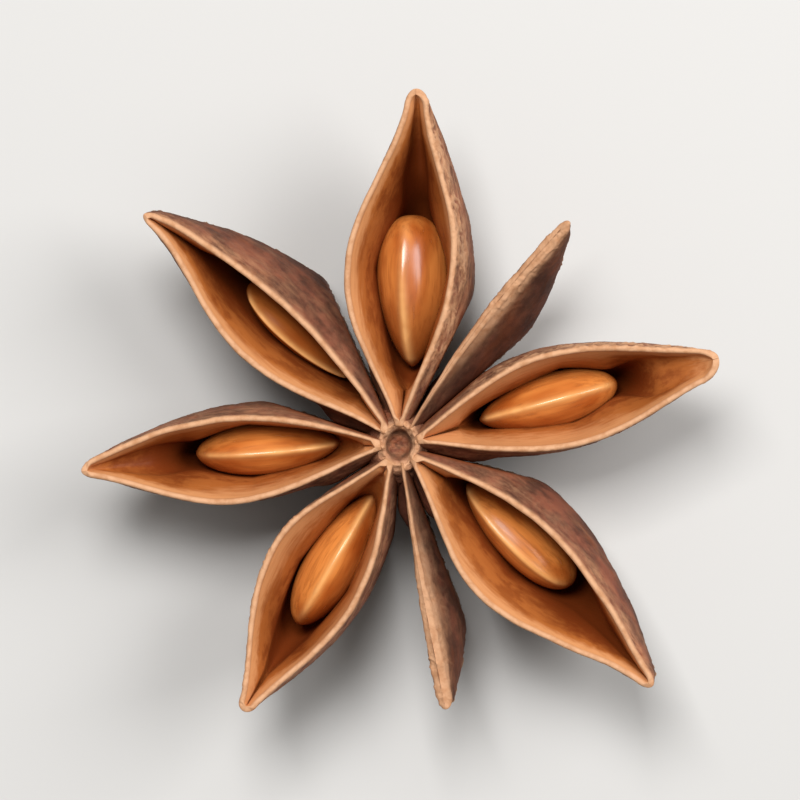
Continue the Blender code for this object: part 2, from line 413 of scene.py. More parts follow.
# the wall that all carpels share; sizes in millimetres
husk = {
    "innerEnd": 0.45,  # where the length is counted from
    "showsFrom": 0.80,  # where the lips end round the hub
    "fusedTo": (3.2, 5.4),  # neighbours are one wall inside the first, apart past the second
    "lip": 0.35,
    "lipHeight": 0.18,
    "keelThickness": 1.0,
    "keelHalfWidth": 0.60,
    "hollowFrom": 0.27,  # the share of the length in which the hollow gets its depth
    "creaseDepth": 0.16,  # of the seam along a shut carpel
    "endDepth": 4.3,  # rim to keel at the core
    "tipDepth": 1.1,  # rim to keel at the beak
    "bellyAt": 0.43,  # the share of the length where the wall is deepest
    "mouthStarts": 1.30,  # out from the hub, where two lips part
    "shutGap": 0.03,  # how far the lips of a shut carpel part, as a share
    "sink": 0.14,  # how much of the keel is worn flat
    "hubHeight": 7.9,
    "rimBlend": 0.30,  # the share of the length in which the rim comes level
    "cupRaised": 0.55,  # how far above the seed's middle the wall closes on it
    "waver": 0.10,  # how far the lips stray sideways, slowly
    "fineWaver": 0.018,  # and in small steps
    "rimLift": 0.10,  # and up and down
    "stations": 260,
    "wallPoints": 66,
    "liningPoints": 42,
    "seamPoints": 12,
    "lipPoints": 11,
}

seedShape = {
    "halfDepth": 2.2,
    "point": 0.685,  # smaller is a fuller inner end
    "ridge": 0.12,
    "ridgeWidth": 0.135,
    "shoulder": 0.6,  # how far the coat is drawn up beside the ridge, as a share of it
    "shoulderWidth": 0.35,
    "flats": 0.06,
    "dents": 0.018,
    "rows": 120,
    "turns": 110,
}

# Left and right belong to the two sides, seen looking outwards. Angles in degrees: azimuth,
# lean, which swings the keel left where positive, and a seed's roll and yaw in its cup.
# depth is rim to keel, rise how far the beak turns up, bow the sideways curve, tipFrom the
# share of the length where the lips start to join. left and right are a lip's greatest
# half-width, its skew towards the beak, its pinch near the core and its half-width at the
# beak; belly is the wall's half-width on each side. rich deepens the lining with painted
# shade and a deeper tone, all along and, by the second number, beyond the seed; pale is how
# weathered the wall is, dim how dark it is painted as shade, crust how rough it is under each
# lip. A seed's thick is its half-width, girth its share of the usual depth, blunt shapes its
# outer end; tail is how far its cup runs on past that end, valley how wide the hollow stays
# there and shallow how much of its depth is lost. ridgeFades is the share of the ridge that
# is lost on the outer half, dark how much painted shade darkens the coat all over and, by the
# second number, at the inner end, gloss how much it shines.
carpels = {
    "Back": dict(
        azimuth=87.2, length=19.9, depth=8.6, lean=-10, rise=0.9, bow=0.1, tipFrom=0.955,
        left=(3.21, 0.9, 1.6, 0.4), right=(2.53, 1.0, 1.5, 0.5), belly=(3.05, 3.8),
        deepShadeAndTone=(0.22, 0.36), pale=0.75, wallShade=0.0, crust=(0.1, 1.0),
        seed=dict(
            node="seed_back", length=8.5, thick=2.03, girth=1.0, roll=-6, yaw=3, blunt=0.42,
            tail=0.18, valley=0.46, shallow=0.25, ridgeFades=0.75, dark=(0.05, 0.7), gloss=0.8)),
    "BackRight": dict(
        azimuth=52.8, length=15.7, depth=7.3, lean=-12, rise=1.0, bow=0.45, tipFrom=0.955,
        left=(0.02, 0.8, 0.8, 0.14), right=(0.02, 0.8, 0.8, 0.16), belly=(0.95, 2.1),
        deepShadeAndTone=(0, 0), pale=0.0, wallShade=0.6, crust=(0.3, 0.2),
        seed=None),
    "Right": dict(
        azimuth=15.3, length=18.5, depth=8.4, lean=3, rise=0.4, bow=-0.12, tipFrom=0.935,
        left=(2.71, 0.95, 1.4, 0.55), right=(2.36, 1.0, 1.4, 0.88), belly=(3.4, 3.05),
        deepShadeAndTone=(0.0, 0.34), pale=0.6, wallShade=0.15, crust=(1.0, 0.3),
        seed=dict(
            node="seed_right", length=8.0, thick=1.56, girth=0.96, roll=-2, yaw=0, blunt=0.55,
            tail=0.12, valley=0.8, shallow=0.6, ridgeFades=0.2, dark=(0.1, 0.15), gloss=0.6)),
    "FrontRight": dict(
        azimuth=-43.5, length=19.5, depth=8.5, lean=17, rise=0.8, bow=0.0, tipFrom=0.965,
        left=(2.3, 0.9, 1.25, 0.2), right=(2.86, 0.9, 1.7, 0.26), belly=(3.35, 3.1),
        deepShadeAndTone=(0.26, 0.52), pale=0.2, wallShade=0.0, crust=(0.4, 0.1),
        seed=dict(
            node="seed_front_right", length=8.2, thick=1.6, girth=0.96, roll=8, yaw=0, blunt=0.48,
            tail=0.35, valley=0.28, shallow=0.25, ridgeFades=0.2, dark=(0.05, 0.1), gloss=0.38)),
    "Front": dict(
        azimuth=-79.9, length=15.0, depth=7.1, lean=12, rise=0.5, bow=-0.12, tipFrom=0.96,
        left=(0.02, 0.8, 0.8, 0.24), right=(0.02, 0.8, 0.8, 0.2), belly=(1.95, 0.75),
        deepShadeAndTone=(0, 0), pale=0.0, wallShade=0.5, crust=(0.3, 0.3),
        seed=None),
    "FrontLeft": dict(
        azimuth=-120.4, length=17.2, depth=8.3, lean=3, rise=0.7, bow=0.0, tipFrom=0.97,
        left=(2.23, 1.0, 1.3, 0.27), right=(3.13, 0.95, 1.4, 0.27), belly=(3.06, 3.06),
        deepShadeAndTone=(0.06, 0.3), pale=0.6, wallShade=0.0, crust=(0.3, 0.85),
        seed=dict(
            node="seed_front_left", length=8.5, thick=1.57, girth=1.0, roll=-3, yaw=0, blunt=0.55,
            tail=0.4, valley=0.18, shallow=0.1, ridgeFades=0.2, dark=(0.0, 0.15), gloss=0.55)),
    "Left": dict(
        azimuth=-175.4, length=17.8, depth=8.25, lean=-8, rise=0.6, bow=0.0, tipFrom=0.965,
        left=(2.39, 1.0, 1.5, 0.2), right=(2.16, 1.05, 0.9, 0.18), belly=(2.98, 2.98),
        deepShadeAndTone=(0.1, 0.45), pale=0.55, wallShade=0.15, crust=(0.2, 0.4),
        seed=dict(
            node="seed_left", length=8.2, thick=1.5, girth=0.92, roll=0, yaw=0, blunt=0.58,
            tail=0.22, valley=0.62, shallow=0.5, ridgeFades=0.2, dark=(0.0, 0.5), gloss=0.5)),
    "BackLeft": dict(
        azimuth=137.8, length=19.2, depth=8.45, lean=-19, rise=0.8, bow=0.0, tipFrom=0.972,
        left=(2.11, 0.95, 1.9, 0.12), right=(1.51, 1.05, 0.8, 0.08), belly=(3.05, 3.08),
        deepShadeAndTone=(0.26, 0.34), pale=0.25, wallShade=0.15, crust=(0.1, 0.2),
        seed=dict(
            node="seed_back_left", length=7.8, thick=1.1, girth=0.78, roll=-15, yaw=0, blunt=0.5,
            tail=0.45, valley=0.18, shallow=0.2, ridgeFades=0.0, dark=(0.7, 0.2), gloss=0.05)),
}


def archAlong(u, skew, pinch):
    # 0 at the core, 1 at the belly, 0 at the beak: a power of the sine of half a turn times a
    # power of the share u of the length
    return np.sin(np.pi * np.clip(u, 0, 1) ** skew) ** pinch


def lipLine(c, u, side):
    # half-width of the mouth to the middle of the lip: the arch times its greatest half-width,
    # plus the beak's half-width times the cube of u
    width, skew, pinch, beak = c["left"] if side > 0 else c["right"]
    return width * archAlong(u, skew, pinch) + beak * u**3


def lipWidth(c, u):
    # the lip's width times a share: two thirds at the hub, where a carpel is open, then all of
    # it; along a carpel that stayed shut half of it, then a wide crest that thins at the beak
    narrow = 0.66 + 0.34 * smoothStep(0.0, 0.30, u)
    crest = 0.50 + 1.1 * smoothStep(0.20, 0.80, u) * (1 - 0.55 * smoothStep(0.86, 1.0, u))
    return husk["lip"] * (narrow if c["seed"] else crest)


def lipsJoined(c, u):
    # 1 where the two lips are one bead, at the hub and round the beak, and 0 where they part:
    # 1 less an eased step out from the hub times a quarter circle over the beak
    x = husk["innerEnd"] + (c["length"] - husk["innerEnd"]) * u
    parted = smoothStep(husk["mouthStarts"], husk["mouthStarts"] + 0.3, x)
    rim = max(1 - lipWidth(c, 1.0) / (c["length"] - husk["innerEnd"]), c["tipFrom"] + 0.004)
    past = np.clip((u - c["tipFrom"]) / (rim - c["tipFrom"]), 0, 1)
    parted = parted * np.sqrt(1 - past**2)
    return 1 - parted * (1 if c["seed"] else husk["shutGap"])


def depthAlong(c, u):
    # rim to keel: out to the belly it falls off with the square of the share left to go, and
    # past it with a power of 1.7 of the share gone, down to the beak
    toBelly = np.clip((husk["bellyAt"] - u) / husk["bellyAt"], 0, 1)
    past = np.clip((u - husk["bellyAt"]) / (1 - husk["bellyAt"]), 0, 1)
    inner = husk["endDepth"] + (c["depth"] - husk["endDepth"]) * (1 - toBelly**2)
    outer = husk["tipDepth"] + (c["depth"] - husk["tipDepth"]) * (1 - past**1.7)
    return np.where(u < husk["bellyAt"], inner, outer)


def rimHeight(c, u):
    # from the hub's height, eased to a level run along the belly, plus the beak's rise times
    # the cube of u
    level = c["depth"] - husk["sink"] if c["seed"] else husk["hubHeight"] - 0.1
    climb = smoothStep(0, husk["rimBlend"], u)
    return husk["hubHeight"] + (level - husk["hubHeight"]) * climb + c["rise"] * u**3


def seedBody(t, blunt):
    # a seed's half-width along it, 1 at most: a power of t times a power of 1 less t, over the
    # greatest value of that product
    point = seedShape["point"]
    most = (point / (point + blunt)) ** point * (blunt / (point + blunt)) ** blunt
    return t**point * (1 - t) ** blunt / most


def outerLine(c, u, side, share):
    # half-width and depth of the outer wall, share 0 at the rim and 1 at the keel: the belly's
    # arch closing on the keel, plus the gap to the lip's edge, which fades down from the rim,
    # plus the keel's own half-width
    edge = lipLine(c, u, side) + lipWidth(c, u) / 2
    belly = c["belly"][0 if side > 0 else 1]
    wide = belly * archAlong(u, 0.85 if c["seed"] else 1.1, 1.2) ** 0.7 + 0.1
    half = wide * (1 - share**2.2) ** 0.7 + (edge - wide) * (1 - share) ** 2.6
    keel = husk["keelHalfWidth"] * (1 - 0.7 * smoothStep(0.75, 1.0, u))
    half = half + keel * share**4 * np.clip(1 - share, 0, 1) ** 0.25
    return half, depthAlong(c, u) * share


def cupAlong(c, x, seedMiddle, edge):
    # half-width of the hollow that holds the seed: it rises to the turned seed's own half-width
    # and falls past its outer end, joined by the cube root of a sum of cubes with the valley,
    # a share of the mouth's half-width there
    seed = c["seed"]
    widest = 0.62
    t = (x - seedMiddle) / seed["length"] + 0.5
    rising = np.clip((t + 0.16) / 0.78, 0, 1) ** 0.6
    falling = 1 - np.clip((t - widest) / (1 - widest + seed["tail"]), 0, 1) ** 1.5
    body = np.where(t < widest, rising, falling)
    valley = edge * (0.10 + (seed["valley"] - 0.10) * smoothStep(0.78, 1.30, t))
    turned = math.radians(c["lean"] + seed["roll"])
    deep = seedShape["halfDepth"] * seed["girth"]
    cup = math.hypot(seed["thick"] * math.cos(turned), deep * math.sin(turned)) * body
    return (cup**3 + valley**3) ** (1 / 3)


def innerLine(c, u, side, turn, seedMiddle):
    # half-width and depth of the lining, turn 0 at the lip, 0.5 at the level where the cup is
    # widest and 1 on the floor: from the lip a power curve to the cup's half-width, then a
    # quarter ellipse to the floor, both less where the lips are joined
    x = husk["innerEnd"] + (c["length"] - husk["innerEnd"]) * u
    joined = lipsJoined(c, u)
    edge = np.maximum(lipLine(c, u, side) - lipWidth(c, u) / 2, 0.03) * (1 - joined)
    ramp = np.clip(u / husk["hollowFrom"], 0, 1) ** 1.5 * np.clip(1.15 - u**5, 0, 1)
    if c["seed"]:
        past = (x - seedMiddle[0]) / c["seed"]["length"] + 0.5
        ramp = ramp * (1 - c["seed"]["shallow"] * smoothStep(0.96, 1.32, past))
        floor = np.maximum(depthAlong(c, u) - husk["keelThickness"] - 0.3, 0)
        reach = 0.3 + floor * ramp
        cup = cupAlong(c, x, seedMiddle[0], edge)
        level = rimHeight(c, u) - seedMiddle[2] - husk["cupRaised"]
        level = np.minimum(level, 0.55 * reach)
    else:
        reach = husk["creaseDepth"] + 0 * u
        cup = 0.02 + 0 * u
        level = 0.5 * reach
    opened = 1 - joined**2
    reach, level, cup = reach * opened, level * opened, cup * opened
    fall = np.clip(turn / 0.5, 0, 1)
    swing = np.clip((turn - 0.5) / 0.5, 0, 1) * np.pi / 2
    flare = cup + (edge - cup) * (1 - fall) ** 1.25
    half = np.where(turn < 0.5, flare, cup * np.cos(swing))
    below = np.where(turn < 0.5, level * fall, level + (reach - level) * np.sin(swing))
    return half, below - husk["lipHeight"] * np.sin(np.pi * (1 - 0.5 * joined)), joined


def sectorAngles():
    # how far each carpel reaches towards its neighbours at the core: the angle between two is
    # shared out in proportion to their bellies
    order = sorted(carpels, key=lambda n: carpels[n]["azimuth"] % 360)
    reach = {name: {} for name in order}
    for here, there in zip(order, order[1:] + order[:1]):
        gap = (carpels[there]["azimuth"] - carpels[here]["azimuth"]) % 360
        a = sum(carpels[here]["belly"])
        b = sum(carpels[there]["belly"])
        reach[here]["left"] = math.radians(gap * a / (a + b))
        reach[there]["right"] = math.radians(gap * b / (a + b))
    return reach


def ringParts(c, u, seedMiddle):
    # the lines of outerLine and innerLine put together as rings: outer wall down the left, up
    # the right, over the right lip, down and up the lining, over the left lip; a lip is half a
    # sine high, blended by a cosine from its outer edge to its inner one
    q = np.linspace(0, 1, husk["wallPoints"])
    outer = 0.55 * q + 0.45 * (1 - np.cos(np.pi * q)) / 2
    inner = np.linspace(0, 1, husk["liningPoints"] if c["seed"] else husk["seamPoints"]) ** 1.1
    arc = np.linspace(0, 1, husk["lipPoints"] + 2)[1:-1]
    parts = []

    def take(half, below, side, inside, lip, share):
        # keeps one stretch of every ring
        shape = (len(u), np.broadcast_shapes(half.shape, below.shape, np.shape(share))[1])
        held = (half, below, side, inside, lip, share)
        parts.append([np.broadcast_to(values, shape) for values in held])

    def wall(side, share):
        half, below = outerLine(c, u, side, share)
        take(half, below, side, 0.0, 0.0, share)

    def lining(side, turn):
        half, below, joined = innerLine(c, u, side, turn, seedMiddle)
        take(half, below, side, 1.0, joined * smoothStep(0.25, 0.0, turn), turn)

    def lipArc(side, turned):
        outHalf = outerLine(c, u, side, np.zeros((1, 1)))[0]
        inHalf = innerLine(c, u, side, np.zeros((1, 1)), seedMiddle)[0]
        f = (arc[::-1] if turned else arc)[None, :]
        blend = (1 - np.cos(np.pi * f)) / 2
        half = outHalf + (inHalf - outHalf) * blend
        joined = lipsJoined(c, u)
        below = -husk["lipHeight"] * np.sin(np.pi * f * (1 - 0.5 * joined))
        crown = np.maximum(np.sin(np.pi * f) ** 0.45, joined * smoothStep(0.0, 0.4, f))
        take(half, below, side, blend, crown, np.zeros((1, 1)))

    wall(1, outer[None, :])
    wall(-1, outer[::-1][1:][None, :])
    lipArc(-1, False)
    lining(-1, inner[None, :])
    lining(1, inner[::-1][1:][None, :])
    lipArc(1, True)
    return (np.concatenate(held, axis=1) for held in zip(*parts))


def carpelGrid(c, reach, number, seedMiddle):
    # rings of points from the hub to the beak, in the carpel's own directions: half-widths
    # strayed by noise near the rim, swung by the lean times the depth, the lining moved over
    # to its seed, neighbours' walls drawn to the line between them and cut off there, and the
    # rim's height less the depth as z
    first = (husk["showsFrom"] - husk["innerEnd"]) / (c["length"] - husk["innerEnd"])
    t = np.linspace(0, 1, husk["stations"])
    u = first + (1 - first) * (0.6 * t + 0.4 * (1 - np.cos(np.pi * t)) / 2)
    u = np.minimum(u, 0.9996)[:, None]
    past = np.clip((u - c["tipFrom"]) / (1 - c["tipFrom"]), 0, 0.9995)
    shrink = np.sqrt(1 - past**2)
    half, below, side, inside, lip, share = ringParts(c, u, seedMiddle)

    x = husk["innerEnd"] + (c["length"] - husk["innerEnd"]) * u + 0 * half
    along = np.stack([x, side * 9.0, x * 0 + number * 13.0], -1)
    nearRim = np.exp(-np.maximum(below, 0) / 1.6)
    waver = husk["waver"] * layeredNoise(along, (3.8, 1, 1), 40 + number, 2)
    waver = waver + husk["fineWaver"] * layeredNoise(along, (0.9, 1, 1), 60, 2)
    waver = waver * smoothStep(1.0, 3.0, x) * smoothStep(c["length"], c["length"] - 2.0, x)
    lift = husk["rimLift"] * layeredNoise(along, (2.8, 1, 1), 80 + number, 3)
    lift = lift * smoothStep(1.5, 4, x)
    half = np.where(half > 0.02, half + waver * nearRim, half) * shrink
    half = np.maximum(half, 0)
    below = below * shrink
    lean = math.tan(math.radians(c["lean"]))
    roll = side * lean * 0.5 * half * np.exp(-np.maximum(below, 0) / 2.5)
    bow = c["bow"] * np.sin(np.pi * u)
    y = side * half + lean * below + bow
    if c["seed"]:
        beside = (x - seedMiddle[0]) / c["seed"]["length"] + 0.5
        held = smoothStep(-0.35, 0.15, beside) * smoothStep(1.45, 0.85, beside) * inside
        axis = lean * (rimHeight(c, u) - seedMiddle[2]) + bow
        y = y + (seedMiddle[1] - axis) * held * smoothStep(0.3, 2.4, below)
    skin = 0.26 * smoothStep(0, 1.2, below) * inside
    leftEdge = x * math.tan(reach["left"]) - skin
    rightEdge = x * math.tan(reach["right"]) - skin
    fused = smoothStep(husk["fusedTo"][1], husk["fusedTo"][0], x) * (1 - inside)
    fused = fused * smoothStep(0.10, 0.34, share) * smoothStep(0.97, 0.72, share)
    toLeft = y + np.maximum(leftEdge - y, 0) * fused
    toRight = y - np.maximum(rightEdge + y, 0) * fused
    y = np.where(side > 0, toLeft, toRight)
    pressed = smoothStep(-0.25, 0.15, np.where(side > 0, y - leftEdge, -y - rightEdge))
    y = softLeast(y, leftEdge, 0.06)
    y = -softLeast(-y, rightEdge, 0.06)
    dip = smoothStep(1.10, 0.70, x) * np.exp(-np.maximum(below, 0) / 1.2)
    z = rimHeight(c, u) + roll - below + lift * nearRim - dip
    points = np.stack([x, y, z], -1)
    return points, {"u": u + 0 * x, "inside": inside, "lip": lip, "share": share,
                    "side": side, "pressed": pressed * (1 - inside), "below": below}


relief = {  # how far each kind stands proud, millimetres
    "dents": 0.10,
    "wrinkles": 0.055,
    "grain": 0.016,
    "keel": 0.20,  # cross wrinkles of the cork
    "crust": 0.13,
    "nicks": 0.020,  # on the lips
    "ragged": 0.12,  # crumbs on the crest of a shut carpel
    "streaks": 0.007,  # in the lining
}


def carpelRelief(c, points, marks, draw):
    # the height at each point: every kind of relief times its noise times the mark of where it
    # belongs, added up; with it the marks that follow the same noise, which are the crests,
    # the keel, the pale weathering and the crust
    u, share, inside, lip = (marks[name] for name in ("u", "share", "inside", "lip"))
    away = points + np.array([draw * 31.7, draw * 17.3, draw * 7.9])
    outside = 1 - inside
    keel = smoothStep(0.66, 0.88, share + 0.12 * layeredNoise(away, 1.4, draw + 50))
    keel = keel * outside * smoothStep(0.05, 0.20, u)
    warp = np.stack([layeredNoise(away, 0.9, draw + 60 + i, 2) for i in range(3)], -1) * 0.4
    wrinkle = ridgedNoise(away + warp * 0.7, (0.42, 1.1, 1.1), draw + 10, 3)
    crease = ridgedNoise(away + warp, (1.9, 0.9, 0.62), draw + 20, 2)
    broad = layeredNoise(away, 3.2, draw + 30, 2)
    grain = layeredNoise(away, 0.26, draw + 40, 2)
    crust = np.where(marks["side"] > 0, c["crust"][0], c["crust"][1])
    crust = crust * outside * smoothStep(0.36, 0.08, share + 0.10 * broad)
    crust = crust * smoothStep(0.12, 0.30, u)
    crumbs = ridgedNoise(away + warp * 1.7, (0.66, 0.42, 0.42), draw + 90, 3)
    crumbs = crumbs * np.clip(0.62 + 0.75 * layeredNoise(away, 1.2, draw + 97, 2), 0, 1)
    rough = outside * (1 - 0.9 * marks["pressed"]) * (1 - lip)
    calm = smoothStep(0.0, 0.12, share)
    height = relief["dents"] * broad * calm + relief["wrinkles"] * (crease - 0.5) * calm
    height = rough * (height + relief["grain"] * grain)
    height = height + keel * relief["keel"] * (wrinkle - 0.45)
    height = height + crust * relief["crust"] * (crumbs - 0.20)
    nicks = layeredNoise(away, (1.3, 2, 2), draw + 70, 4)
    height = height + lip * relief["nicks"] * nicks
    if not c["seed"]:
        ragged = smoothStep(0.40, 0.80, u) * (smoothStep(0.16, 0.0, share) * outside + lip)
        height = height + np.clip(ragged, 0, 1) * relief["ragged"] * (crumbs - 0.35)
    streaks = layeredNoise(away * np.array([0.22, 1, 1]), 0.5, draw + 80, 3)
    height = height + inside * (1 - lip) * relief["streaks"] * streaks
    # the crest mark is high on the relief's ridges and low in its troughs, which get painted
    # shade
    crest = np.where(keel > 0.3, wrinkle, 0.30 + 0.55 * crease) * outside + 0.6 * inside
    crest = np.maximum(crest, crust**2 * crumbs * 1.2)
    pale = c["pale"] + 0.5 * layeredNoise(away, (2.4, 1.2, 1.2), draw + 95, 3)
    pale = pale + 0.45 * smoothStep(0.72, 0.98, u) + 0.4 * crust**2
    pale = pale + smoothStep(0.20, 0.02, share) * (0.12 + 0.40 * smoothStep(0.40, 0.75, u))
    if not c["seed"]:
        pale = pale + 0.5 * smoothStep(0.22, 0.02, share)
    crusty = crust**2 * smoothStep(0.08, 0.45, crumbs)
    height = height * np.clip((1 - u) / 0.02, 0.05, 1)
    return height, {"crest": crest, "keel": keel, "pale": np.clip(pale, 0, 1), "crusty": crusty}


def carpelColourMarks(c, points, marks, cover):
    # what the husk's material reads: the lip mark is the greatest of the lip, a thin line under
    # it, a shut carpel's crest and three quarters of the crust; dim is painted shade, going
    # towards its middle down the wall; deep is painted shade, an eased step of the depth in the
    # mouth, plus rich times another, which is painted shade and a deeper tone
    u, share, below = marks["u"], marks["share"], marks["below"]
    outside = 1 - marks["inside"]
    lip = np.maximum(marks["lip"], 0.5 * smoothStep(0.014, 0.0, share) * outside)
    if not c["seed"]:
        crest = smoothStep(0.10, 0.02, share) * smoothStep(0.15, 0.55, u)
        lip = 0.82 * np.maximum(lip, 0.75 * crest)
    everywhere, beyond = c["deepShadeAndTone"]
    # painted shade and a deeper tone, all along and more beyond the seed
    deepShadeAndTone = smoothStep(0.05, 0.9, below) * (everywhere + beyond * smoothStep(0.50, 0.80, u))
    return {
        "inside": marks["inside"] * (1.0 if c["seed"] else 0.15),
        "lip": np.maximum(lip, 0.75 * cover["crusty"]),
        "pressed": marks["pressed"],
        "keel": cover["keel"],
        "crest": cover["crest"],
        "pale": cover["pale"],
        # painted shade: the wall darker down towards the keel
        "wallShade": c["wallShade"] + (0.55 - c["wallShade"]) * smoothStep(0.16, 0.70, share) * outside,
        # painted shade: the lining darker with depth
        "deep": marks["inside"] * (smoothStep(0.1, 4.9, below) + deepShadeAndTone),
        "place": points,
    }


def turnAbout(azimuth):
    # a turn about the upright axis, as a matrix of the angle's sine and cosine
    a = math.radians(azimuth)
    return np.array([[math.cos(a), -math.sin(a), 0], [math.sin(a), math.cos(a), 0], [0, 0, 1]])


def leanAbout(degrees):
    # the same about the axis that points outwards
    a = math.radians(degrees)
    return np.array([[1, 0, 0], [0, math.cos(a), -math.sin(a)], [0, math.sin(a), math.cos(a)]])


def seedPlace(c, hub):
    # the middle of a seed's box less the hub, in its carpel's own directions: outwards, to the
    # left, up
    low, high = (np.array(corner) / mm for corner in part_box(c["seed"]["node"]))
    return ((low + high) / 2 - hub) @ turnAbout(c["azimuth"])


def findHub():
    # where the core's axis stands: the middle of the pod's box less the middle of the tips
    tips = []
    for c in carpels.values():
        a = math.radians(c["azimuth"])
        tips.append((c["length"] * math.cos(a), c["length"] * math.sin(a)))
    tips = np.array(tips)
    low, high = (np.array(corner)[:2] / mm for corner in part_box("pod"))
    return np.append((low + high) / 2 - (tips.min(0) + tips.max(0)) / 2, 0)


def buildCarpels(hub):
    # for each carpel its grid, moved along its outward normals by the relief, kept above the
    # floor, turned to its azimuth and moved to the hub
    reach = sectorAngles()
    for number, (name, c) in enumerate(carpels.items()):
        seedMiddle = seedPlace(c, hub) if c["seed"] else np.zeros(3)
        points, marks = carpelGrid(c, reach[name], number, seedMiddle)
        height, cover = carpelRelief(c, points, marks, number * 100)
        normals = gridNormals(points)
        middle = points.mean(axis=1, keepdims=True)
        leftWall = ((points - middle) * normals).sum(-1)[:, :husk["wallPoints"] - 2]
        shaped = points + normals * np.sign(leftWall.mean()) * height[..., None]
        shaped[..., 2] = np.maximum(shaped[..., 2], 0.0)
        placed = (shaped @ turnAbout(c["azimuth"]).T + hub) * mm
        mesh = ringMesh("carpel" + name, placed, carpelColourMarks(c, points, marks, cover))
        addPiece("carpel" + name, mesh, huskMaterial, "pericarp", "pod")
    print("carpels made:", len(carpels))


hubPlace = findHub()
buildCarpels(hubPlace)

core = {
    # how far out and how high, from the middle of the pit over the ring and down the column
    "profile": ((0.0, 7.00), (0.28, 7.02), (0.50, 7.08), (0.68, 7.28), (0.83, 7.72),
                (1.06, 7.95), (1.34, 7.80), (1.62, 7.10), (2.0, 6.40), (2.4, 5.6),
                (2.6, 4.9), (2.5, 3.9), (2.1, 3.1), (1.4, 2.75), (0.9, 2.4)),
    "ringAt": 1.10,
    "ringWidth": 0.28,
    "knob": 0.16,  # how much higher the ring stands where a mouth ends on it
    "knobWidth": 0.17,
    "oval": 0.11,
    "ribs": 9,
    "ribHeight": 0.015,
    "bumps": 0.10,
    "ringBumps": 0.15,
    "ragged": 0.13,
    "turns": 220,
    "rows": 200,
}


def buildCore(c, hub):
    # a profile turned round the hub's axis, a little oval, its height raised by noise, by the
    # ribs of the pit and on the ring by a bell curve for each carpel, its radius by more noise
    knots = np.array(c["profile"])
    t = np.linspace(0, len(knots) - 1, c["rows"])
    radius = np.interp(t, np.arange(len(knots)), knots[:, 0])[:, None]
    height = np.interp(t, np.arange(len(knots)), knots[:, 1])[:, None]
    turn = np.linspace(0, 2 * np.pi, c["turns"], endpoint=False)[None, :]
    ring = np.exp(-(((radius - c["ringAt"]) / c["ringWidth"]) ** 2)) * (t[:, None] < 9)
    knobs = 0
    for k in carpels.values():
        away = np.angle(np.exp(1j * (turn - math.radians(k["azimuth"]))))
        knobs = knobs + np.exp(-((away / c["knobWidth"]) ** 2))
    oval = 1 + c["oval"] * np.cos(2 * (turn - 1.5)) * smoothStep(0.2, 0.9, radius)
    radius = np.maximum(radius, 0.02) * oval
    points = [radius * np.cos(turn), radius * np.sin(turn), height + 0 * radius]
    points = np.stack(points, -1)
    bumps = layeredNoise(points, 0.36, 900, 3)
    upper = smoothStep(6.2, 6.7, height)
    ribs = c["ribHeight"] * np.cos(c["ribs"] * turn + 0.8)
    ribs = ribs * smoothStep(0.15, 0.5, radius) * (1 - ring)
    raised = (c["bumps"] + c["ringBumps"] * ring) * bumps + ribs
    points[..., 2] += upper * (raised + ring * c["knob"] * (knobs - 0.5))
    points[..., :2] *= 1 + (c["ragged"] * upper * layeredNoise(points, 0.7, 905, 3))[..., None]
    zero = 0 * radius
    pit = smoothStep(0.95, 0.60, radius) * upper
    steep = np.exp(-(((radius - 0.72) / 0.15) ** 2)) * upper
    lip = ring * upper * (0.75 + 0.6 * bumps + 0.3 * knobs)
    pressed = pit * (0.15 + 0.9 * bumps) + 0.35 * (1 - upper)
    marks = {
        "inside": zero,
        "lip": np.clip(lip, 0, 1),
        "pressed": np.clip(pressed, 0, 1),
        "keel": zero,
        "crest": 0.42 + 0.6 * bumps,
        "pale": 0.30 + 0.35 * pit,
        # painted shade on the lower column and on the steep wall of the pit
        "wallShade": 0.5 * (1 - upper) + 0.55 * steep + zero,
        "deep": zero,
        "place": points.copy(),
    }
    mesh = ringMesh("core", (points + hub) * mm, marks)
    addPiece("core", mesh, huskMaterial, "pericarp", "pod")
    print("core made")


buildCore(core, hubPlace)

stalk = {
    "radius": 0.85,
    "flare": 1.35,
    "top": 3.4,
    "length": 2.6,
    "tilt": 7,
    "ribs": 9,
    "ribHeight": 0.09,
    "grain": 0.04,
    "broken": 0.10,  # how rough the lower face is
    "capRows": 10,
    "rows": 70,
    "turns": 96,
}


def buildStalk(c, hub):
    # a rod whose radius grows with the square of t up into the core, plus a cosine for its
    # ribs, closed by a broken face and tilted about its top
    t = np.concatenate([np.zeros(c["capRows"]), np.linspace(0, 1, c["rows"])])[:, None]
    cap = np.concatenate([np.linspace(0.02, 1, c["capRows"]), np.ones(c["rows"])])[:, None]
    turn = np.linspace(0, 2 * np.pi, c["turns"], endpoint=False)[None, :]
    rib = c["ribHeight"] * np.cos(c["ribs"] * turn + 1.5 * t)
    radius = (c["radius"] * (1 + (c["flare"] - 1) * t**2) + rib) * cap
    z = c["top"] - c["length"] * (1 - t) + 0 * turn
    points = np.stack([radius * np.cos(turn), radius * np.sin(turn), z], -1)
    grain = layeredNoise(points * np.array([1, 1, 0.3]), 0.35, 950, 3)
    points[..., :2] *= 1 + c["grain"] * grain[..., None] * cap[..., None]
    points[..., 2] += c["broken"] * layeredNoise(points, 0.4, 960, 2) * (t < 0.001)
    pivot = np.array([0, 0, c["top"]])
    placed = ((points - pivot) @ leanAbout(c["tilt"]).T + pivot + hub) * mm
    zero = 0 * radius
    marks = {
        "inside": zero,
        "lip": zero,
        "pressed": zero,
        "keel": zero + 0.85,
        "crest": 0.75 + 0.3 * grain,
        "pale": zero + 0.6,
        "wallShade": zero,
        "deep": zero,
        "place": points,
    }
    mesh = ringMesh("stalkStub", placed, marks)
    addPiece("stalkStub", mesh, huskMaterial, "pericarp", "pod")
    print("stalk made")


buildStalk(stalk, hubPlace)


